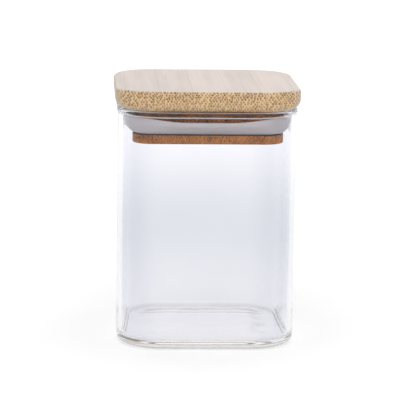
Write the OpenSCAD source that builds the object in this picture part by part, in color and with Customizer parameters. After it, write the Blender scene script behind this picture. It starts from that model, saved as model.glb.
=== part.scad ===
// Square glass spice jar with a bamboo lid board, a bamboo plug and a silicone seal.
// The origin is the middle of the base, on the table. X runs to the right, Y to the
// back and Z up. All lengths are in millimetres.

/* [Glass jar] */
// Outer width of the square glass body
jar_w = 65; // [58:0.5:80]
// Outer radius of the upright glass corners
jar_corner_r = 17.5; // [15:0.5:20]
// Height of the glass, from the table to the top of the rim
jar_h = 86.6; // [60:0.2:140]
// Thickness of the glass wall
wall_t = 1.8; // [1.4:0.1:2.4]
// Thickness of the glass floor
floor_t = 2.6; // [2:0.1:4]
// Radius of the round heel, outside, between the wall and the base
heel_r = 2.4; // [1:0.2:4]
// Radius of the round inside, between the wall and the floor
floor_round_r = 3; // [1:0.2:5]
// How far the fire-polished rim bead stands out from the wall
rim_out = 0.3; // [0.1:0.05:0.6]
// Width of the flat ring under the jar that stands on the table
stand_w = 4; // [2:0.5:6]
// Depth of the hollow in the underside, inside that ring
kick_depth = 0.5; // [0.2:0.1:1]

/* [Lid board] */
// How far the lid board reaches past the glass body on each side
lid_overhang = 1; // [0.5:0.1:2.5]
// Radius of the lid board's corners, seen from above
lid_corner_r = 15.5; // [12:0.5:18]
// Thickness of the lid board
lid_t = 7.5; // [6:0.5:12]
// Radius of the round along the board's top edge
lid_top_round_r = 1.5; // [0.5:0.1:2]
// Radius of the round along the board's lower edge
lid_under_round_r = 3.6; // [1:0.2:4]
// Gap between the rim and the lid board
lid_gap = 0.1; // [0.05:0.05:0.3]

/* [Plug] */
// Gap between the plug and the glass wall, which the seal's lip bridges
plug_gap = 3.75; // [3.25:0.25:4.25]
// The same gap measured across a corner, where the lip is pressed closer
plug_corner_gap = 1.65; // [1.5:0.05:2]
// Height of the plug's neck, from the lid board down to the seal's groove
neck_h = 5.45; // [4:0.05:8]
// Height of the groove that holds the seal
groove_h = 3; // [2.5:0.1:4]
// Depth of that groove
groove_depth = 2.4; // [1.6:0.1:3]
// Thickness of the plug's foot
foot_t = 3.65; // [2.5:0.05:6]
// Radius of the round along the foot's edges
foot_round_r = 0.5; // [0.2:0.1:1]

/* [Seal] */
// Height of the seal, from the foot to the edge of its lip
seal_h = 5.05; // [4.5:0.05:6]
// Height of the upright band at the lip's edge, which lies against the glass
lip_band_h = 1.3; // [0.8:0.1:2]
// Thickness of the seal's lip
lip_t = 0.9; // [0.6:0.05:1.2]
// Height of the seal's solid bottom, below the hollow behind the lip
lip_root_h = 1.3; // [1:0.1:2]
// Gap between the lip and the glass, which the soft lip closes in use
lip_gap = 0.12; // [0.05:0.01:0.25]
// Gap between the seal and the core that it is stretched round
seal_fit = 0.1; // [0.05:0.05:0.2]
// Gap between the seal's top and the neck above it
seal_play = 0.1; // [0.05:0.05:0.3]

/* [Hidden] */

// Number of sides of a full circle, on true rounds and on the soft lip
round_fn = 96;
lip_fn = 64;

glass = [0.86, 0.90, 0.93, 0.35];
light_bamboo = [0.80, 0.66, 0.48];
dark_bamboo = [0.50, 0.33, 0.20];
silicone = [0.80, 0.79, 0.79];

// The jar's half width and its inside, to which the plug and the seal are fitted
jar_half = jar_w / 2;
bore_half = jar_half - wall_t;
bore_corner_r = jar_corner_r - wall_t;

// Distance from a rounded square's centre to its corner, and the corner radius
// that gives a wanted distance
function across(half_w, corner_r) = half_w * sqrt(2) - corner_r * (sqrt(2) - 1);
function corner_r_for(half_w, reach) = (half_w * sqrt(2) - reach) / (sqrt(2) - 1);

// The rim bead is as thick as the wall and what stands out from it
rim_r = (wall_t + rim_out) / 2;

// The hollow under the jar shares the centres of the jar's corners
kick_inset = heel_r + stand_w;

lid_half = jar_half + lid_overhang;

plug_half = bore_half - plug_gap;
plug_corner_r = corner_r_for(plug_half, across(bore_half, bore_corner_r) - plug_corner_gap);
core_half = plug_half - groove_depth;
core_corner_r = plug_corner_r - groove_depth;

// Heights, from the lid board down
board_z = jar_h + lid_gap;
neck_z = board_z - neck_h;
groove_z = neck_z - groove_h;
foot_z = groove_z - foot_t;

lip_half = bore_half - lip_gap;
lip_corner_r = bore_corner_r - lip_gap;

// Levels at which the bowl of the lip is drawn, as shares of its curved height
bowl_levels = [0, 0.15, 0.3, 0.5, 0.75, 1];
// Power of the bowl's curve: 1 is a straight cone, and more is rounder
bowl_power = 1.5;
// Height of the flat slices that the bowl is stretched over
slice_h = 0.02;
// How far a cutting solid reaches past the face that it cuts
past = 1;

// A square with rounded corners, about the origin
module rounded_square(half_w, corner_r, sides = round_fn) {
    centre = half_w - corner_r;
    square([2 * half_w, 2 * centre], center = true);
    square([2 * centre, 2 * half_w], center = true);
    for (x = [-centre, centre], y = [-centre, centre])
        translate([x, y]) circle(r = corner_r, $fn = sides);
}

// Carries a section round a square with rounded corners. The section's X is its
// distance from the corner centres, and its Y is the height.
module carry_round(half_w, corner_r) {
    centre = half_w - corner_r;
    for (quarter = [0:3])
        rotate([0, 0, 90 * quarter])
            translate([centre, centre, 0]) {
                rotate_extrude(angle = 90, $fn = round_fn) children();
                rotate([90, 0, 0]) linear_extrude(height = 2 * centre) children();
            }
}

// The square block between the four corner centres
module middle(half_w, corner_r, height) {
    width = 2 * (half_w - corner_r);
    translate([-width / 2, -width / 2, 0]) cube([width, width, height]);
}

// What a round takes off an outer corner of a section, with the corner at the origin
// and the section to its lower left
module corner_waste(r) {
    difference() {
        translate([-r, -r]) square([r + past, r + past]);
        translate([-r, -r]) circle(r = r, $fn = round_fn);
    }
}

// Section of a plate from the corner centre outwards, with both edges rounded
module plate_section(reach, height, under_r, top_r) {
    difference() {
        square([reach, height]);
        translate([reach, height]) corner_waste(top_r);
        translate([reach, 0]) mirror([0, 1]) corner_waste(under_r);
    }
}

// A plate with rounded corners and rounded edges, standing on z = 0
module plate(half_w, corner_r, height, under_r, top_r) {
    carry_round(half_w, corner_r) plate_section(corner_r, height, under_r, top_r);
    middle(half_w, corner_r, height);
}

// Section of the glass: floor, heel, wall and rim bead
module jar_section() {
    wall_x = jar_corner_r - wall_t;
    difference() {
        union() {
            square([jar_corner_r, floor_t]);
            translate([wall_x, 0]) square([wall_t, jar_h - rim_r]);
            translate([jar_corner_r + rim_out - rim_r, jar_h - rim_r]) circle(r = rim_r, $fn = round_fn);
            difference() {
                translate([wall_x - floor_round_r, 0]) square([floor_round_r, floor_t + floor_round_r]);
                translate([wall_x - floor_round_r, floor_t + floor_round_r])
                    circle(r = floor_round_r, $fn = round_fn);
            }
        }
        translate([jar_corner_r, 0]) mirror([0, 1]) corner_waste(heel_r);
    }
}

module glass_jar() {
    color(glass)
    difference() {
        union() {
            carry_round(jar_half, jar_corner_r) jar_section();
            middle(jar_half, jar_corner_r, floor_t);
        }
        translate([0, 0, -past])
            plate(jar_half - kick_inset, jar_corner_r - kick_inset, past + kick_depth, 0, kick_depth);
    }
}

module lid_board() {
    color(light_bamboo)
    translate([0, 0, board_z])
        plate(lid_half, lid_corner_r, lid_t, lid_under_round_r, lid_top_round_r);
}

// The neck fills the mouth above the seal, and its core runs through the seal
module plug_neck() {
    color(dark_bamboo) {
        translate([0, 0, neck_z])
            linear_extrude(height = neck_h) rounded_square(plug_half, plug_corner_r);
        translate([0, 0, groove_z])
            linear_extrude(height = groove_h) rounded_square(core_half, core_corner_r);
    }
}

module plug_foot() {
    color(dark_bamboo)
    translate([0, 0, foot_z])
        plate(plug_half, plug_corner_r, foot_t, foot_round_r, foot_round_r);
}

// How far the bowl has spread at a share of its curved height, from 0 at the foot
// to 1 at the upright band
function spread(share) = 1 - pow(1 - share, bowl_power);

// The solid bowl whose side is the lip, drawn in by inset: it spreads from the plug's
// outline to the bore's, and then stands upright to the lip's edge
module bowl(inset) {
    hull() {
        for (level = bowl_levels)
            translate([0, 0, level * (seal_h - lip_band_h)])
                linear_extrude(height = slice_h)
                    rounded_square(
                        plug_half + (lip_half - plug_half) * spread(level) - inset,
                        plug_corner_r + (lip_corner_r - plug_corner_r) * spread(level) - inset,
                        lip_fn);
        translate([0, 0, seal_h - slice_h])
            linear_extrude(height = slice_h)
                rounded_square(lip_half - inset, lip_corner_r - inset, lip_fn);
    }
}

// A ring in the plug's groove whose lip spreads upwards to the glass
module seal_ring() {
    web_h = groove_h - seal_play;
    color(silicone)
    translate([0, 0, groove_z])
        difference() {
            bowl(0);
            difference() {
                translate([0, 0, lip_root_h]) bowl(lip_t);
                linear_extrude(height = web_h) rounded_square(plug_half, plug_corner_r);
            }
            translate([0, 0, -past])
                linear_extrude(height = seal_h + 2 * past)
                    rounded_square(core_half + seal_fit, core_corner_r + seal_fit);
        }
}

glass_jar();
lid_board();
plug_neck();
seal_ring();
plug_foot();
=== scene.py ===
"""Looks of a square glass spice jar with a bamboo lid and a silicone seal.

Lengths are in metres. Z is up, -Y is the front, and the origin is the middle of the base.
"""

from collections import namedtuple
import math

import bmesh
import bpy
from mathutils import Matrix, Vector

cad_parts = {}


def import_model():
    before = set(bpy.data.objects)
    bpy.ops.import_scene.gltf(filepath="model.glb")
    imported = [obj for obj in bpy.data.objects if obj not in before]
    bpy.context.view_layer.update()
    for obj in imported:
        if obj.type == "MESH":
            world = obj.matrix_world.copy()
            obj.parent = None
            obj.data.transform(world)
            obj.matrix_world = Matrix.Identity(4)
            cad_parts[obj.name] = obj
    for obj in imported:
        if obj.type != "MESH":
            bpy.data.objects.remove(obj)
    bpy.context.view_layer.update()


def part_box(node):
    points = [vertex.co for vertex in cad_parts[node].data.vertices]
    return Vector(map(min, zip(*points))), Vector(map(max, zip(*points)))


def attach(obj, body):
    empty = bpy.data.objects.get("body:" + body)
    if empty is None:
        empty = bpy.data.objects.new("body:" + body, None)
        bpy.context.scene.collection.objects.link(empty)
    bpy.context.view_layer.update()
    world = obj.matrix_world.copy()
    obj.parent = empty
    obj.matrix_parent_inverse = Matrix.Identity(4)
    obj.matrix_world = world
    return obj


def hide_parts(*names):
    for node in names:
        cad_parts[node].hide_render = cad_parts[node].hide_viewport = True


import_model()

MM = 0.001
WHITE = (1, 1, 1, 1)

# Sizes that the frame's boxes can't give; they repeat the values of the solid model
JAR_CORNER_R = 17.5 * MM
WALL_T = 1.8 * MM
FLOOR_T = 2.6 * MM
HEEL_R = 2.4 * MM
RIM_OUT = 0.3 * MM
STAND_W = 4 * MM
KICK_DEPTH = 0.5 * MM
LID_CORNER_R = 15.5 * MM
LID_TOP_ROUND_R = 1.5 * MM
LID_UNDER_ROUND_R = 3.6 * MM
PLUG_CORNER_GAP = 1.65 * MM
GROOVE_H = 3 * MM
GROOVE_DEPTH = 2.4 * MM
FOOT_ROUND_R = 0.5 * MM
LIP_BAND_H = 1.3 * MM
LIP_T = 0.9 * MM
LIP_ROOT_H = 1.3 * MM
SEAL_FIT = 0.1 * MM
SEAL_PLAY = 0.1 * MM
# Power of the curve of the seal's bowl: 1 is a straight cone, and more is rounder
BOWL_POWER = 1.5

# Radius of the round inside, between the wall and the floor. It is 1 mm tighter than in
# the solid model, because a wide one mirrors the brown plug as dark lines
FLOOR_ROUND_R = 2 * MM

# Edges that the solid model leaves sharp: the neck's at the groove and the seal's below
NECK_EASE = 0.15 * MM
SEAL_EASE = 0.45 * MM
# Angle in degrees at which the seal's eased edge runs into its bowl, below level
SEAL_EASE_END = -20

# How the soft lip departs from a level edge: lifted at the corners, and sagging a little
# along the sides, up to this distance from their middle
LIP_CORNER_RISE = 1.5 * MM
LIP_SAG = 0.4 * MM
LIP_SAG_REACH = 8 * MM

# Steps of a quarter round seen from above, and stops along a straight side as shares of it
CORNER_STEPS = 36
SIDE_STOPS = [0.03] + [k / 12 for k in range(1, 12)] + [0.97]
# Steps of a section: round an edge, a plate's top edge, the rim bead and an eased edge, and
# up the glass wall
ROUND_STEPS = 12
TOP_ROUND_STEPS = 10
BEAD_STEPS = 22
EASE_STEPS = 3
WALL_STEPS = 12
# Steps of the seal's section: its eased edge, the bowl outside and inside, and the lip's edge
SEAL_EASE_STEPS = 5
BOWL_STEPS = 16
INNER_BOWL_STEPS = 12
LIP_EDGE_STEPS = 10
# Distance of a supporting ring from the end of a round
HOLD = 0.4 * MM
# Points that lie closer together than this are one point
WELD = 0.001 * MM

jar_low, jar_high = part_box("glass_jar")
board_low, board_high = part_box("lid_board")
neck_low, neck_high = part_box("plug_neck")
foot_low, foot_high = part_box("plug_foot")
seal_low, seal_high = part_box("seal_ring")

JAR_HALF = jar_high.x - RIM_OUT
JAR_CENTRE = JAR_HALF - JAR_CORNER_R
BORE_HALF = JAR_HALF - WALL_T
BORE_CORNER_R = JAR_CORNER_R - WALL_T
PLUG_HALF = foot_high.x
CORNER_SHARE = math.sqrt(2) - 1

# The rim bead: its radius, the place of its middle, and the crease where it meets the wall,
# as an angle below level and as a height
RIM_R = (WALL_T + RIM_OUT) / 2
RIM_REACH = JAR_CORNER_R + RIM_OUT - RIM_R
RIM_Z = jar_high.z - RIM_R
RIM_CREASE = math.acos((JAR_CORNER_R - RIM_REACH) / RIM_R)
RIM_CREASE_Z = RIM_Z - RIM_R * math.sin(RIM_CREASE)


def across(half, radius):
    """Distance from the middle of a rounded square to its corner."""
    return half * math.sqrt(2) - radius * CORNER_SHARE


PLUG_CORNER_R = (
    PLUG_HALF * math.sqrt(2) - across(BORE_HALF, BORE_CORNER_R) + PLUG_CORNER_GAP
) / CORNER_SHARE

# Bamboo

# One kind of sanded bamboo: the ground and the dark bundles of its cut ends, its long faces
# above, lighter with a painted sheen, and at the sides, darker with painted shade, the tone of
# its darkest blotches, the strength of its shine, and what sets its bundles apart from the
# strips' own values
Bamboo = namedtuple("Bamboo", "ground bundle top side blotch gloss pattern")

PALE_BAMBOO = Bamboo(
    ground=(0.80, 0.55, 0.30, 1),
    bundle=(0.11, 0.036, 0.006, 1),
    # The top's pale grey is a painted sheen of the bright surround, the side a painted shade
    top=(0.74, 0.64, 0.58, 1),
    side=(0.55, 0.42, 0.29, 1),
    blotch=0.95,
    gloss=0.6,
    pattern={},
)
# The plug's bundles are finer and closer than the board's
FINE_BUNDLES = {"Bundle Size": 0.34 * MM, "Bundle Gap": 1.0 * MM, "Row Height": 0.7 * MM}
BROWN_BAMBOO = Bamboo(
    ground=(0.66, 0.26, 0.075, 1),
    bundle=(0.06, 0.016, 0.003, 1),
    top=(0.48, 0.19, 0.06, 1),
    side=(0.46, 0.18, 0.055, 1),
    blotch=0.62,
    gloss=0.3,
    pattern=FINE_BUNDLES,
)
# The neck's brown, which is deeper for the shade under the board
SHADED_BAMBOO = Bamboo(
    ground=(0.60, 0.24, 0.075, 1),
    bundle=(0.03, 0.008, 0.002, 1),
    top=(0.36, 0.14, 0.042, 1),
    side=(0.34, 0.13, 0.04, 1),
    blotch=0.55,
    gloss=0.3,
    pattern=FINE_BUNDLES,
)

# Scales of the noise that draws fine fibres, longer patches and the fibres' wandering, each
# drawn out along Y, and how far the fibres wander
FIBRE_SCALE = (2200, 25, 2200)
BLOTCH_SCALE = (170, 14, 240)
WANDER_SCALE = (260, 20, 260)
WANDER = (0.9 * MM, 0, 0.7 * MM)

# Rows of bundles crowd towards the top, each stands half a gap beside the next one, and a
# strip's rows are shifted against its neighbour's by up to this many rows
ROW_CROWDING = 1.25
ROW_SKEW = 0.5
STRIP_SHIFT = 7.0
# How far the bundles stray from their rows, how much less their height counts than their
# width, the shares of their size between which they fade, and how they vary: in size and
# tone from one to the next, and in strength from the bottom to the top
BUNDLE_STRAY = 0.45
BUNDLE_STRETCH = 0.7
BUNDLE_FADE = (0.45, 1.35)
BUNDLE_SIZES = (0.7, 1.3)
BUNDLE_TONES = (0.65, 1.0)
BUNDLE_STRENGTHS = (0.6, 1.0)

# Distances from a strip's edge between which its glue line fades
GLUE_FADE = (0.04 * MM, 0.16 * MM)
# How far a face turns to the front or the back to show end grain, and how level it lies to
# take the top's tone with its painted sheen
END_GRAIN_TURN = (0.15, 0.65)
LEVEL_TURN = (0.35, 0.85)
# Tones that fibres, strips and the lightest blotches give, where 1 changes nothing
FIBRE_TONES = (0.95, 1.04)
STRIP_TONES = (0.97, 1.02)
LIGHT_BLOTCH = 1.06
# Strength of the bundles on cut ends and on long faces, and of the glue lines
CUT_BUNDLES = 0.95
LONG_BUNDLES = 0.05
GLUE_LINES = 0.14
# Height of the fibres against the depth of the cut bundles
FIBRE_RELIEF = 0.3
BAMBOO_ROUGHNESS = (0.38, 0.52)

# The dark line where the seal meets the foot, of painted shade and glue: its colour, strength
# and fade from its middle
SEAM_SHADE = (0.03, 0.012, 0.006, 1)
SEAM_STRENGTH = 0.9
SEAM_FADE = (0.3 * MM, 0.6 * MM)

# The value that noise varies about, and the spans of it over which a finish changes: most
# of it, its middle and nearly all of it
NOISE_MIDDLE = (0.5, 0.5, 0.5)
MOST_NOISE = (0.3, 0.7)
MIDDLE_NOISE = (0.35, 0.65)
WIDE_NOISE = (0.2, 0.8)
# Outcome of a ramp that falls
FALLING = (1.0, 0.0)

# Glass and silicone

# Colours of the glass where it is clearest, where its painted reflection of something dim is
# greyest and round its heel, and the painted shade that its corners add, where light runs
# further through it
GLASS_CLEAR = (0.96, 0.96, 0.985, 1)
GLASS_REFLECTED_GREY = (0.832, 0.842, 0.873, 1)
GLASS_HEEL = (0.74, 0.755, 0.75, 1)
GLASS_CORNER_SHADE = (0.95, 0.953, 0.967, 1)
GLASS_IOR = 1.47
GLASS_SHINE = (0.3, 0.3, 0.33, 1)

# Heights over which the wall's painted reflection of something dim comes in and goes again,
# and how far the waves of the glass shift them
GREY_COMES = (4 * MM, 46 * MM)
GREY_GOES = (45 * MM, 82 * MM)
GREY_SWAY = 8 * MM
WAVE_SCALE = (60, 60, 14)
# Where the tints of the corners and of the heel change: the lesser distance from the two
# middle planes, the reach from the corner centres, and the height
CORNER_TINT_SPAN = (17 * MM, 27 * MM)
WALL_SPAN = (JAR_CORNER_R - 2.6 * MM, JAR_CORNER_R - 1.6 * MM)
HEEL_SPAN = (0.8 * MM, 2.6 * MM)
# The rim's cloudy top and crease: the heights over which the top turns cloudy, the fade
# from the crease, and the roughness of both
RIM_TOP_SPAN = (jar_high.z - 0.7 * MM, jar_high.z - 0.3 * MM)
CREASE_FADE = (0.12 * MM, 0.3 * MM)
RIM_ROUGHNESS = 0.55
# The clear coat that paints a highlight along the crease, a bright line
CREASE_IOR = 4.0
CREASE_ROUGHNESS = 0.1

SILICONE_DIM = (0.69, 0.65, 0.655, 1)
SILICONE_LIGHT = (0.75, 0.71, 0.715, 1)
SILICONE_CLOUD_SCALE = (300, 300, 300)
SILICONE_SKIN_SCALE = (2500, 2500, 2500)
SILICONE_ROUGHNESS = (0.32, 0.42)

# Stage

# The camera, found from the outline of the jar and the lid in the photograph
CAMERA_DISTANCE = 0.8
CAMERA_TURN = math.radians(3.185)
CAMERA_RISE = math.radians(10.54)
CAMERA_ROLL = math.radians(0.82)
CAMERA_TARGET = Vector((-1.42 * MM, 0, 49.3 * MM))
CAMERA_LENS_MM = 193.4
SENSOR_MM = 36
CAMERA_NEAR = 0.01

# The surround's light, and what the floor adds to its own shade where it is seen, away
# from the jar and, as painted light, under it, where the glass lets less of the surround's
# light through
SURROUND_LIGHT = 0.7
FLOOR_GLOW = 0.32
PAINTED_UNDER_GLOW = 0.49
# Distances from the origin between which one gives way to the other
UNDER_SPAN = (22 * MM, 48 * MM)

FLOOR_RADIUS = 3.0
FLOOR_SIDES = 96
FLOOR_COLOUR = (0.8, 0.8, 0.8, 1)
# How far the floor lies below the jar, so that the two surfaces don't coincide
FLOOR_DROP = 0.05 * MM

# Where the lamps stand, seen from the jar, their strength and how wide they look
KEY_SIDE = (-0.1, -0.9, 1.0)
KEY_STRENGTH = 0.8
FILL_SIDE = (0.3, 0.4, 1.0)
FILL_STRENGTH = 0.2
LAMP_SPREAD = math.radians(60)

# Light runs a long way inside the glass wall before it leaves
LIGHT_BOUNCES = 100


# Mesh building

def ring(half, radius, z):
    """Points of a square with rounded corners at one height, counter-clockwise."""
    centre = half - radius
    points = []
    for quarter in range(4):
        turn = Matrix.Rotation(math.radians(90 * quarter), 3, "Z")
        for step in range(CORNER_STEPS + 1):
            angle = math.radians(90 * step / CORNER_STEPS)
            x = centre + radius * math.cos(angle)
            y = centre + radius * math.sin(angle)
            points.append(turn @ Vector((x, y, z)))
        for share in SIDE_STOPS:
            points.append(turn @ Vector((centre * (1 - 2 * share), half, z)))
    return points


def arc(x, z, radius, start, end, steps):
    """Points of an arc in a section, from one angle to another in degrees."""
    points = []
    for step in range(steps + 1):
        angle = math.radians(start + (end - start) * step / steps)
        points.append((x + radius * math.cos(angle), z + radius * math.sin(angle)))
    return points


def wall_heights(low, high):
    """Heights of the rings along a wall, with one close to each end."""
    shares = [k / WALL_STEPS for k in range(1, WALL_STEPS)]
    return [low + HOLD] + [low + (high - low) * share for share in shares] + [high - HOLD]


def bridge(mesh, rings, closed):
    """Joins rings of points into a skin, and the last ring to the first if closed."""
    loops = [[mesh.verts.new(point) for point in points] for points in rings]
    pairs = list(zip(loops, loops[1:]))
    if closed:
        pairs.append((loops[-1], loops[0]))
    for lower, upper in pairs:
        count = len(lower)
        for i in range(count):
            j = (i + 1) % count
            mesh.faces.new((lower[i], lower[j], upper[j], upper[i]))


def middle_grid(mesh, centre, z, up):
    """Fills the square between the four corner centres."""
    stops = [centre * (1 - 2 * share) for share in [0] + SIDE_STOPS + [1]]
    rows = [[mesh.verts.new((x, y, z)) for x in stops] for y in stops]
    for low_row, high_row in zip(rows, rows[1:]):
        for k in range(len(stops) - 1):
            corners = [low_row[k], low_row[k + 1], high_row[k + 1], high_row[k]]
            mesh.faces.new(corners if up else corners[::-1])


def carried_solid(half, radius, section):
    """A solid from a section carried round the corner centres of a rounded square.

    A section point is its reach from the corner centres and its height. The section
    starts below and ends above with a reach of 0, and the middle is filled at both.
    """
    centre = half - radius
    mesh = bmesh.new()
    bridge(mesh, [ring(centre + reach, reach, z) for reach, z in section], closed=False)
    middle_grid(mesh, centre, section[0][1], up=False)
    middle_grid(mesh, centre, section[-1][1], up=True)
    return mesh


def plate_mesh(half, radius, low, high, under_r, top_r):
    """A solid plate between two heights, with rounded corners and edges."""
    flat_side = high - low - under_r - top_r
    section = [(0, low), (radius - under_r - HOLD, low)]
    section += arc(radius - under_r, low + under_r, under_r, -90, 0, ROUND_STEPS)
    section += [(radius, low + under_r + flat_side * k / 4) for k in range(1, 4)]
    section += arc(radius - top_r, high - top_r, top_r, 0, 90, TOP_ROUND_STEPS)
    section += [(radius - top_r - HOLD, high), (0, high)]
    return carried_solid(half, radius, section)


def finished(name, mesh, material, node, body):
    """Turns a mesh under construction into a smooth piece that replaces a node."""
    bmesh.ops.remove_doubles(mesh, verts=mesh.verts, dist=WELD)
    bmesh.ops.dissolve_degenerate(mesh, edges=mesh.edges, dist=WELD)
    bmesh.ops.recalc_face_normals(mesh, faces=mesh.faces)
    for face in mesh.faces:
        face.smooth = True
    data = bpy.data.meshes.new(name)
    mesh.to_mesh(data)
    mesh.free()
    piece = bpy.data.objects.new(name, data)
    bpy.context.scene.collection.objects.link(piece)
    data.materials.append(material)
    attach(piece, body)
    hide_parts(node)
    return piece


# Materials

class Nodes:
    """A node tree under construction."""

    def __init__(self, tree):
        self.tree = tree

    def fill(self, node, inputs):
        """Joins sockets to a node's inputs, and sets plain values on them."""
        for key, value in inputs.items():
            if isinstance(value, bpy.types.NodeSocket):
                self.tree.links.new(value, node.inputs[key])
            else:
                node.inputs[key].default_value = value

    def add(self, kind, inputs=None, **settings):
        """Adds a node, sets it and joins or fills its inputs."""
        node = self.tree.nodes.new(kind)
        for key, value in settings.items():
            setattr(node, key, value)
        self.fill(node, inputs or {})
        return node

    def place(self):
        """A point's place on the object."""
        return self.add("ShaderNodeTexCoord").outputs["Object"]

    def facing(self):
        """The three parts of the direction that a face turns to."""
        return self.split(self.add("ShaderNodeNewGeometry").outputs["Normal"])

    def split(self, vector):
        """The X, Y and Z of a vector."""
        return self.add("ShaderNodeSeparateXYZ", {0: vector}).outputs

    def calc(self, operation, *values):
        """Arithmetic with one or two values."""
        return self.add("ShaderNodeMath", dict(enumerate(values)), operation=operation).outputs[0]

    def vector(self, operation, *vectors):
        """Arithmetic with one or two vectors."""
        node = self.add("ShaderNodeVectorMath", dict(enumerate(vectors)), operation=operation)
        return node.outputs["Value" if operation == "LENGTH" else "Vector"]

    def ramp(self, value, span, ends=(0.0, 1.0), soft=True):
        """Carries a span of values to the span between two ends, held at both."""
        node = self.add(
            "ShaderNodeMapRange",
            {"Value": value, "From Min": span[0], "From Max": span[1], "To Min": ends[0], "To Max": ends[1]},
            interpolation_type="SMOOTHSTEP" if soft else "LINEAR",
        )
        return node.outputs["Result"]

    def between(self, share, ends):
        """The value that lies a share of the way between two ends."""
        return self.ramp(share, (0.0, 1.0), ends, soft=False)

    def mix(self, factor, first, second, blend="MIX"):
        """A blend of two colours."""
        inputs = {0: factor, 6: first, 7: second}
        return self.add("ShaderNodeMix", inputs, data_type="RGBA", blend_type=blend).outputs[2]

    def toned(self, colour, tone):
        """A colour times a tone or another colour."""
        return self.mix(1.0, colour, tone, blend="MULTIPLY")

    def noise(self, vector, scale, detail=2.0, roughness=0.5):
        """Soft noise with a scale along each axis, as a value and as a colour."""
        scaled = self.vector("MULTIPLY", vector, scale)
        inputs = {"Vector": scaled, "Scale": 1.0, "Detail": detail, "Roughness": roughness}
        return self.add("ShaderNodeTexNoise", inputs).outputs

    def bump(self, height, strength, distance):
        """The direction of a surface with a relief."""
        inputs = {"Height": height, "Strength": strength, "Distance": distance}
        return self.add("ShaderNodeBump", inputs).outputs[0]


def new_group(name, inputs, outputs):
    """A shader node group: its nodes under construction, what it is given and its output.

    All its sockets carry values, and its inputs have their usual values.
    """
    tree = bpy.data.node_groups.new(name, "ShaderNodeTree")
    for label, usual in inputs.items():
        socket = tree.interface.new_socket(label, in_out="INPUT", socket_type="NodeSocketFloat")
        socket.default_value = usual
    for label in outputs:
        tree.interface.new_socket(label, in_out="OUTPUT", socket_type="NodeSocketFloat")
    nodes = Nodes(tree)
    return nodes, nodes.add("NodeGroupInput").outputs, nodes.add("NodeGroupOutput")


def bamboo_strips_group():
    """Edge-glued bamboo strips whose fibres run front to back.

    Bundles are the dark dots of cut fibres, End Grain says where a face cuts across the
    fibres, Fibres is the fine streaking, Blotches are longer patches, Strip is a tone for
    each strip and Glue marks the joints between strips.
    """
    nodes, given, made = new_group(
        "bamboo_strips",
        {
            "Strip Width": 12 * MM,
            "Bundle Gap": 1.12 * MM,
            "Row Height": 0.86 * MM,
            "Bundle Size": 0.37 * MM,
            "Lower Face": 0.0,
            "Thickness": 7.5 * MM,
        },
        ["Bundles", "End Grain", "Fibres", "Blotches", "Strip", "Glue"],
    )
    calc = nodes.calc
    place = nodes.place()

    # Strips side by side, of which one lies in the middle, and the joint at each edge
    strips = calc("ADD", calc("DIVIDE", nodes.split(place)["X"], given["Strip Width"]), 0.5)
    strip_number = calc("FLOOR", strips)
    strip = nodes.add("ShaderNodeTexWhiteNoise", {"W": strip_number}, noise_dimensions="1D").outputs["Value"]
    share = calc("FRACT", strips)
    edge_share = calc("MINIMUM", share, calc("SUBTRACT", 1.0, share))
    edge_distance = calc("MULTIPLY", edge_share, given["Strip Width"])

    # The fibres wander a little on their way
    course = nodes.noise(place, WANDER_SCALE, detail=1.0)["Color"]
    wander = nodes.vector("MULTIPLY", nodes.vector("SUBTRACT", course, NOISE_MIDDLE), WANDER)
    moved = nodes.vector("ADD", place, wander)
    at = nodes.split(moved)

    # Rows of bundles on a slanted lattice
    height = calc("DIVIDE", calc("SUBTRACT", at["Z"], given["Lower Face"]), given["Thickness"])
    crowded = calc("POWER", calc("MAXIMUM", height, 0.0), ROW_CROWDING)
    rows = calc("DIVIDE", given["Thickness"], given["Row Height"])
    row = calc("ADD", calc("MULTIPLY", crowded, rows), calc("MULTIPLY", strip, STRIP_SHIFT))
    column = calc("DIVIDE", at["X"], given["Bundle Gap"])
    slanted = calc("ADD", column, calc("MULTIPLY", row, ROW_SKEW))
    lattice = nodes.add("ShaderNodeCombineXYZ", {0: slanted, 1: row}).outputs[0]
    cells = nodes.add(
        "ShaderNodeTexVoronoi",
        {"Vector": lattice, "Scale": 1.0, "Randomness": BUNDLE_STRAY},
        voronoi_dimensions="2D",
    ).outputs

    # Distance of a point from its bundle, off the slant again and in real sizes
    spot = nodes.split(cells["Position"])
    rise = calc("SUBTRACT", spot["Y"], row)
    run = calc("SUBTRACT", calc("SUBTRACT", spot["X"], slanted), calc("MULTIPLY", rise, ROW_SKEW))
    run_length = calc("MULTIPLY", run, given["Bundle Gap"])
    rise_length = calc("MULTIPLY", calc("MULTIPLY", rise, given["Row Height"]), BUNDLE_STRETCH)
    to_bundle = nodes.add("ShaderNodeCombineXYZ", {0: run_length, 1: rise_length}).outputs[0]

    # Dots that vary in size and tone
    chance = nodes.add("ShaderNodeSeparateColor", {0: cells["Color"]}).outputs
    size = calc("MULTIPLY", given["Bundle Size"], nodes.between(chance[0], BUNDLE_SIZES))
    dot = nodes.ramp(calc("DIVIDE", nodes.vector("LENGTH", to_bundle), size), BUNDLE_FADE, FALLING)
    strong_dot = calc("MULTIPLY", dot, nodes.between(height, BUNDLE_STRENGTHS))

    nodes.fill(made, {
        "Bundles": calc("MULTIPLY", strong_dot, nodes.between(chance[1], BUNDLE_TONES)),
        "End Grain": nodes.ramp(calc("ABSOLUTE", nodes.facing()["Y"]), END_GRAIN_TURN),
        "Fibres": nodes.noise(moved, FIBRE_SCALE, detail=3.0, roughness=0.6)["Fac"],
        "Blotches": nodes.noise(place, BLOTCH_SCALE, detail=3.0, roughness=0.6)["Fac"],
        "Strip": strip,
        "Glue": nodes.ramp(edge_distance, GLUE_FADE, FALLING),
    })
    return nodes.tree


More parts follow.
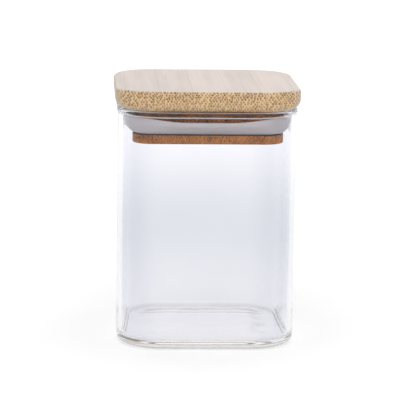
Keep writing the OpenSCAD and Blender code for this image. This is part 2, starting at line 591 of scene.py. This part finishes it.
def shader(name):
    """A new material, its node tree under construction and its shader node."""
    material = bpy.data.materials.new(name)
    material.use_nodes = True
    tree = material.node_tree
    surface = next(n for n in tree.nodes if n.type == "BSDF_PRINCIPLED")
    return material, Nodes(tree), surface


def bamboo_material(name, group, bamboo, low, high, shaded_seam=None):
    """Sanded bamboo: dotted end grain in front and behind, streaks elsewhere.

    The strips reach from one height to another. A shaded seam is a height at which glue and
    painted shade draw a dark line.
    """
    material, nodes, surface = shader(name)
    calc = nodes.calc
    values = {"Lower Face": low, "Thickness": high - low, **bamboo.pattern}
    strips = nodes.add("ShaderNodeGroup", values, node_tree=group).outputs

    # Level faces take the top's painted sheen, the others the sides' painted shade
    level = nodes.ramp(calc("ABSOLUTE", nodes.facing()["Z"]), LEVEL_TURN)
    fibres = nodes.ramp(strips["Fibres"], MOST_NOISE, FIBRE_TONES, soft=False)
    long_face = nodes.toned(nodes.mix(level, bamboo.side, bamboo.top), fibres)
    dotted_face = nodes.mix(calc("MULTIPLY", strips["Bundles"], LONG_BUNDLES), long_face, bamboo.bundle)
    cut_end = nodes.mix(calc("MULTIPLY", strips["Bundles"], CUT_BUNDLES), bamboo.ground, bamboo.bundle)
    grain = nodes.mix(strips["End Grain"], dotted_face, cut_end)

    blotch = nodes.ramp(strips["Blotches"], MIDDLE_NOISE, (bamboo.blotch, LIGHT_BLOTCH))
    tone = calc("MULTIPLY", nodes.between(strips["Strip"], STRIP_TONES), blotch)
    glue = calc("MULTIPLY", strips["Glue"], GLUE_LINES)
    colour = nodes.mix(glue, nodes.toned(grain, tone), bamboo.bundle)
    # Painted shade and glue: a dark line where the seal meets the foot
    if shaded_seam is not None:
        height = nodes.split(nodes.place())["Z"]
        seam_distance = calc("ABSOLUTE", calc("SUBTRACT", height, shaded_seam))
        dark_line = nodes.ramp(seam_distance, SEAM_FADE, (SEAM_STRENGTH, 0.0))
        colour = nodes.mix(dark_line, colour, SEAM_SHADE)

    pores = calc("MULTIPLY", strips["Bundles"], strips["End Grain"])
    relief = calc("SUBTRACT", calc("MULTIPLY", strips["Fibres"], FIBRE_RELIEF), pores)
    nodes.fill(surface, {
        "Base Color": colour,
        "Roughness": nodes.ramp(strips["Fibres"], WIDE_NOISE, BAMBOO_ROUGHNESS, soft=False),
        "Specular IOR Level": bamboo.gloss,
        "Normal": nodes.bump(relief, strength=0.35, distance=0.05 * MM),
    })
    return material


def glass_material():
    """Clear borosilicate glass with the faint waves of drawn glass.

    The wall is a little greyer half way up, a painted reflection of something dim.
    """
    material, nodes, surface = shader("clear_glass")
    calc = nodes.calc
    place = nodes.place()
    height = nodes.split(place)["Z"]
    waves = nodes.noise(place, WAVE_SCALE, detail=1.0)["Fac"]

    # Painted reflection: a grey band half way up the wall
    swayed = calc("ADD", height, calc("MULTIPLY", waves, GREY_SWAY))
    painted_reflection = calc("MULTIPLY", nodes.ramp(swayed, GREY_GOES, FALLING), nodes.ramp(swayed, GREY_COMES))
    wall_tint_and_reflection = nodes.mix(painted_reflection, GLASS_CLEAR, GLASS_REFLECTED_GREY)

    quarter = nodes.vector("ABSOLUTE", place)
    sides = nodes.split(quarter)
    # Painted shade near the corners, where light runs further through the glass
    near_corner = nodes.ramp(calc("MINIMUM", sides["X"], sides["Y"]), CORNER_TINT_SPAN)
    tint = nodes.toned(wall_tint_and_reflection, nodes.mix(near_corner, WHITE, GLASS_CORNER_SHADE))

    # Z loses a metre, so that only the reach from the corner centres is left
    past_centre = nodes.vector("SUBTRACT", quarter, (JAR_CENTRE, JAR_CENTRE, 1))
    reach = nodes.vector("LENGTH", nodes.vector("MAXIMUM", past_centre, (0, 0, 0)))
    at_wall = nodes.ramp(reach, WALL_SPAN)
    heel = calc("MULTIPLY", at_wall, nodes.ramp(height, HEEL_SPAN, FALLING))

    crease_distance = calc("ABSOLUTE", calc("SUBTRACT", height, RIM_CREASE_Z))
    crease = calc("MULTIPLY", nodes.ramp(crease_distance, CREASE_FADE, FALLING), at_wall)
    cloudy = calc("MAXIMUM", nodes.ramp(height, RIM_TOP_SPAN), crease)

    nodes.fill(surface, {
        "Base Color": nodes.mix(heel, tint, GLASS_HEEL),
        "Roughness": calc("MULTIPLY", cloudy, RIM_ROUGHNESS),
        "Transmission Weight": 1.0,
        "IOR": GLASS_IOR,
        "Specular Tint": GLASS_SHINE,
        # The crease's strong coat is a painted highlight
        "Coat Weight": crease,
        "Coat IOR": CREASE_IOR,
        "Coat Roughness": CREASE_ROUGHNESS,
        "Normal": nodes.bump(waves, strength=0.25, distance=0.3 * MM),
    })
    return material


def silicone_material():
    """Translucent white silicone with a soft skin."""
    material, nodes, surface = shader("silicone")
    place = nodes.place()
    cloud = nodes.noise(place, SILICONE_CLOUD_SCALE)["Fac"]
    skin = nodes.noise(place, SILICONE_SKIN_SCALE)["Fac"]
    nodes.fill(surface, {
        "Base Color": nodes.mix(cloud, SILICONE_DIM, SILICONE_LIGHT),
        "Roughness": nodes.ramp(skin, MOST_NOISE, SILICONE_ROUGHNESS, soft=False),
        "Subsurface Weight": 0.35,
        "Subsurface Radius": (1.0, 0.9, 0.85),
        "Subsurface Scale": 1.2 * MM,
        "Normal": nodes.bump(skin, strength=0.1, distance=0.02 * MM),
    })
    return material


# Pieces

def glass_jar(material):
    """The jar: floor domed a little below, heel, wall and a rounded rim bead."""
    dome_reach = JAR_CORNER_R - HEEL_R - STAND_W
    heel_reach = JAR_CORNER_R - HEEL_R
    inner_reach = BORE_CORNER_R - FLOOR_ROUND_R
    inner_round_z = FLOOR_T + FLOOR_ROUND_R
    crease = math.degrees(RIM_CREASE)
    section = []
    for step in range(ROUND_STEPS + 1):
        share = step / ROUND_STEPS
        section.append((dome_reach * share, KICK_DEPTH * (1 + math.cos(math.pi * share)) / 2))
    section += [(dome_reach + HOLD, 0), (heel_reach - HOLD, 0)]
    section += arc(heel_reach, HEEL_R, HEEL_R, -90, 0, ROUND_STEPS)
    section += [(JAR_CORNER_R, z) for z in wall_heights(HEEL_R, RIM_CREASE_Z)]
    section += arc(RIM_REACH, RIM_Z, RIM_R, -crease, 180, BEAD_STEPS)
    section += [(BORE_CORNER_R, z) for z in reversed(wall_heights(inner_round_z, RIM_Z))]
    section += arc(inner_reach, inner_round_z, FLOOR_ROUND_R, 0, -90, ROUND_STEPS)
    section += [(inner_reach - HOLD, FLOOR_T), (0, FLOOR_T)]
    mesh = carried_solid(JAR_HALF, JAR_CORNER_R, section)
    piece = finished("glass_body", mesh, material, "glass_jar", "jar")
    # Light passes through clear glass, which throws almost no shadow
    piece.visible_shadow = False
    return piece


def lid_board(material):
    """The bamboo board on top."""
    mesh = plate_mesh(
        board_high.x, LID_CORNER_R, board_low.z, board_high.z, LID_UNDER_ROUND_R, LID_TOP_ROUND_R
    )
    return finished("bamboo_board", mesh, material, "lid_board", "lid")


def plug_neck(material):
    """The neck over the seal and the narrower core inside it."""
    low, high = neck_low.z, neck_high.z
    groove_top = low + GROOVE_H
    core_reach = PLUG_CORNER_R - GROOVE_DEPTH
    eased_reach = PLUG_CORNER_R - NECK_EASE
    section = [(0, low), (core_reach - HOLD, low), (core_reach, low)]
    section += [(core_reach, groove_top - HOLD), (core_reach, groove_top)]
    section += [(PLUG_CORNER_R - HOLD, groove_top)]
    section += arc(eased_reach, groove_top + NECK_EASE, NECK_EASE, -90, 0, EASE_STEPS)
    section += [(PLUG_CORNER_R, groove_top + HOLD), (PLUG_CORNER_R, high - HOLD)]
    section += [(PLUG_CORNER_R, high), (PLUG_CORNER_R - HOLD, high), (0, high)]
    mesh = carried_solid(PLUG_HALF, PLUG_CORNER_R, section)
    return finished("bamboo_neck", mesh, material, "plug_neck", "lid")


def plug_foot(material):
    """The plate under the seal."""
    mesh = plate_mesh(
        PLUG_HALF, PLUG_CORNER_R, foot_low.z, foot_high.z, FOOT_ROUND_R, FOOT_ROUND_R
    )
    return finished("bamboo_foot", mesh, material, "plug_foot", "lid")


def seal_ring(material):
    """The ring in the groove, with a lip that spreads upwards to the glass."""
    base = seal_low.z
    height = seal_high.z - base
    web_z = base + GROOVE_H - SEAL_PLAY
    lip_half = seal_high.x
    lip_corner_r = BORE_CORNER_R - (BORE_HALF - lip_half)
    lip_corner = across(lip_half, lip_corner_r) / math.sqrt(2)
    core_half = PLUG_HALF - GROOVE_DEPTH + SEAL_FIT
    core_r = PLUG_CORNER_R - GROOVE_DEPTH + SEAL_FIT

    def bowl(share, inset, lift):
        """A ring at a share of the bowl's curved height."""
        spread = 1 - (1 - share) ** BOWL_POWER
        half = PLUG_HALF + (lip_half - PLUG_HALF) * spread - inset
        radius = PLUG_CORNER_R + (lip_corner_r - PLUG_CORNER_R) * spread - inset
        return ring(half, radius, base + lift + share * (height - LIP_BAND_H))

    def pressed(points):
        """The glass presses the lip up at the corners, and it sags along the sides."""
        for point in points:
            along = min(abs(point.x), abs(point.y))
            share = min(max((along - LIP_SAG_REACH) / (lip_corner - LIP_SAG_REACH), 0), 1)
            rise = LIP_CORNER_RISE * share * share * (3 - 2 * share) - LIP_SAG
            point.z += rise * max((point.z - base - LIP_ROOT_H) / (height - LIP_ROOT_H), 0)
        return points

    edge_r = LIP_T / 2
    rings = [
        ring(core_half, core_r, base),
        ring(PLUG_HALF - 2 * HOLD, PLUG_CORNER_R - 2 * HOLD, base),
    ]
    for x, z in arc(-SEAL_EASE, SEAL_EASE, SEAL_EASE, -90, SEAL_EASE_END, SEAL_EASE_STEPS):
        rings.append(ring(PLUG_HALF + x, PLUG_CORNER_R + x, base + z))
    # The eased edge stands in for the bowl's first two rings
    for step in range(2, BOWL_STEPS + 1):
        rings.append(pressed(bowl(step / BOWL_STEPS, 0, 0)))
    for x, z in arc(0, height - edge_r, edge_r, 0, 180, LIP_EDGE_STEPS):
        rings.append(pressed(ring(lip_half - edge_r + x, lip_corner_r - edge_r + x, base + z)))
    # Inside, the bowl ends where the lip's inner face meets the plug's outline
    inner_foot = 1 - (1 - LIP_T / (lip_half - PLUG_HALF)) ** (1 / BOWL_POWER)
    for step in range(1, INNER_BOWL_STEPS + 1):
        share = 1 - (1 - inner_foot) * step / INNER_BOWL_STEPS
        rings.append(pressed(bowl(share, LIP_T, LIP_ROOT_H)))
    rings.append(ring(PLUG_HALF, PLUG_CORNER_R, web_z))
    rings.append(ring(core_half, core_r, web_z))
    mesh = bmesh.new()
    bridge(mesh, rings, closed=True)
    return finished("silicone_seal", mesh, material, "seal_ring", "lid")


# Stage

def camera():
    """The photograph's view."""
    forward = Vector((
        math.cos(CAMERA_RISE) * math.sin(CAMERA_TURN),
        math.cos(CAMERA_RISE) * math.cos(CAMERA_TURN),
        -math.sin(CAMERA_RISE),
    ))
    level = Vector((math.cos(CAMERA_TURN), -math.sin(CAMERA_TURN), 0))
    upright = level.cross(forward)
    right = level * math.cos(CAMERA_ROLL) + upright * math.sin(CAMERA_ROLL)
    up = upright * math.cos(CAMERA_ROLL) - level * math.sin(CAMERA_ROLL)
    data = bpy.data.cameras.new("camera")
    data.lens = CAMERA_LENS_MM
    data.sensor_width = SENSOR_MM
    data.clip_start = CAMERA_NEAR
    holder = bpy.data.objects.new("camera", data)
    bpy.context.scene.collection.objects.link(holder)
    turn = Matrix((right, up, -forward)).transposed().to_4x4()
    holder.matrix_world = Matrix.Translation(CAMERA_TARGET - forward * CAMERA_DISTANCE) @ turn
    bpy.context.scene.camera = holder


def seen_directly(nodes):
    """1 for rays that show the background: from the camera, through glass or off gloss."""
    path = nodes.add("ShaderNodeLightPath").outputs
    through = nodes.calc("MAXIMUM", path["Is Camera Ray"], path["Is Transmission Ray"])
    return nodes.calc("MAXIMUM", through, path["Is Glossy Ray"])


def world():
    """An even pale surround, which shows white."""
    surround = bpy.data.worlds.new("surround")
    bpy.context.scene.world = surround
    surround.use_nodes = True
    nodes = Nodes(surround.node_tree)
    background = next(n for n in surround.node_tree.nodes if n.type == "BACKGROUND")
    strength = nodes.between(seen_directly(nodes), (SURROUND_LIGHT, 1.0))
    nodes.fill(background, {"Color": WHITE, "Strength": strength})


def floor():
    """A pale round floor that takes the jar's shadow, shows white where it is lit, and has painted light
    under the jar.
    """
    mesh = bmesh.new()
    bmesh.ops.create_circle(mesh, cap_ends=True, radius=FLOOR_RADIUS, segments=FLOOR_SIDES)
    data = bpy.data.meshes.new("floor")
    mesh.to_mesh(data)
    mesh.free()
    plane = bpy.data.objects.new("floor", data)
    plane.location.z = -FLOOR_DROP
    bpy.context.scene.collection.objects.link(plane)
    material = bpy.data.materials.new("floor_white")
    material.use_nodes = True
    nodes = Nodes(material.node_tree)
    material.node_tree.nodes.clear()
    diffuse = nodes.add("ShaderNodeBsdfDiffuse", {"Color": FLOOR_COLOUR}).outputs[0]
    place = nodes.add("ShaderNodeNewGeometry").outputs["Position"]
    # Painted light: the floor glows more under the jar
    glow = nodes.ramp(nodes.vector("LENGTH", place), UNDER_SPAN, (PAINTED_UNDER_GLOW, FLOOR_GLOW))
    seen_glow = nodes.calc("MULTIPLY", seen_directly(nodes), glow)
    light = nodes.add("ShaderNodeEmission", {"Color": WHITE, "Strength": seen_glow}).outputs[0]
    both = nodes.add("ShaderNodeAddShader", {0: diffuse, 1: light}).outputs[0]
    nodes.add("ShaderNodeOutputMaterial", {"Surface": both})
    data.materials.append(material)


def lamp(name, side, strength):
    """A wide soft lamp that shines on the jar from one side."""
    data = bpy.data.lights.new(name, "SUN")
    data.energy = strength
    data.angle = LAMP_SPREAD
    holder = bpy.data.objects.new(name, data)
    bpy.context.scene.collection.objects.link(holder)
    holder.rotation_euler = Vector(side).to_track_quat("Z", "Y").to_euler()
    holder.visible_glossy = False
    holder.visible_transmission = False


camera()
world()
floor()
lamp("key_lamp", KEY_SIDE, KEY_STRENGTH)
lamp("fill_lamp", FILL_SIDE, FILL_STRENGTH)
bpy.context.scene.view_settings.view_transform = "Standard"
bpy.context.scene.cycles.max_bounces = LIGHT_BOUNCES
bpy.context.scene.cycles.glossy_bounces = LIGHT_BOUNCES
bpy.context.scene.cycles.transmission_bounces = LIGHT_BOUNCES

strips = bamboo_strips_group()
board_bamboo = bamboo_material("pale_bamboo", strips, PALE_BAMBOO, board_low.z, board_high.z)
foot_bamboo = bamboo_material(
    "brown_bamboo", strips, BROWN_BAMBOO, foot_low.z, neck_high.z, shaded_seam=foot_high.z
)
neck_bamboo = bamboo_material(
    "brown_bamboo_in_shade", strips, SHADED_BAMBOO, foot_low.z, neck_high.z
)
glass_jar(glass_material())
lid_board(board_bamboo)
plug_neck(neck_bamboo)
plug_foot(foot_bamboo)
seal_ring(silicone_material())
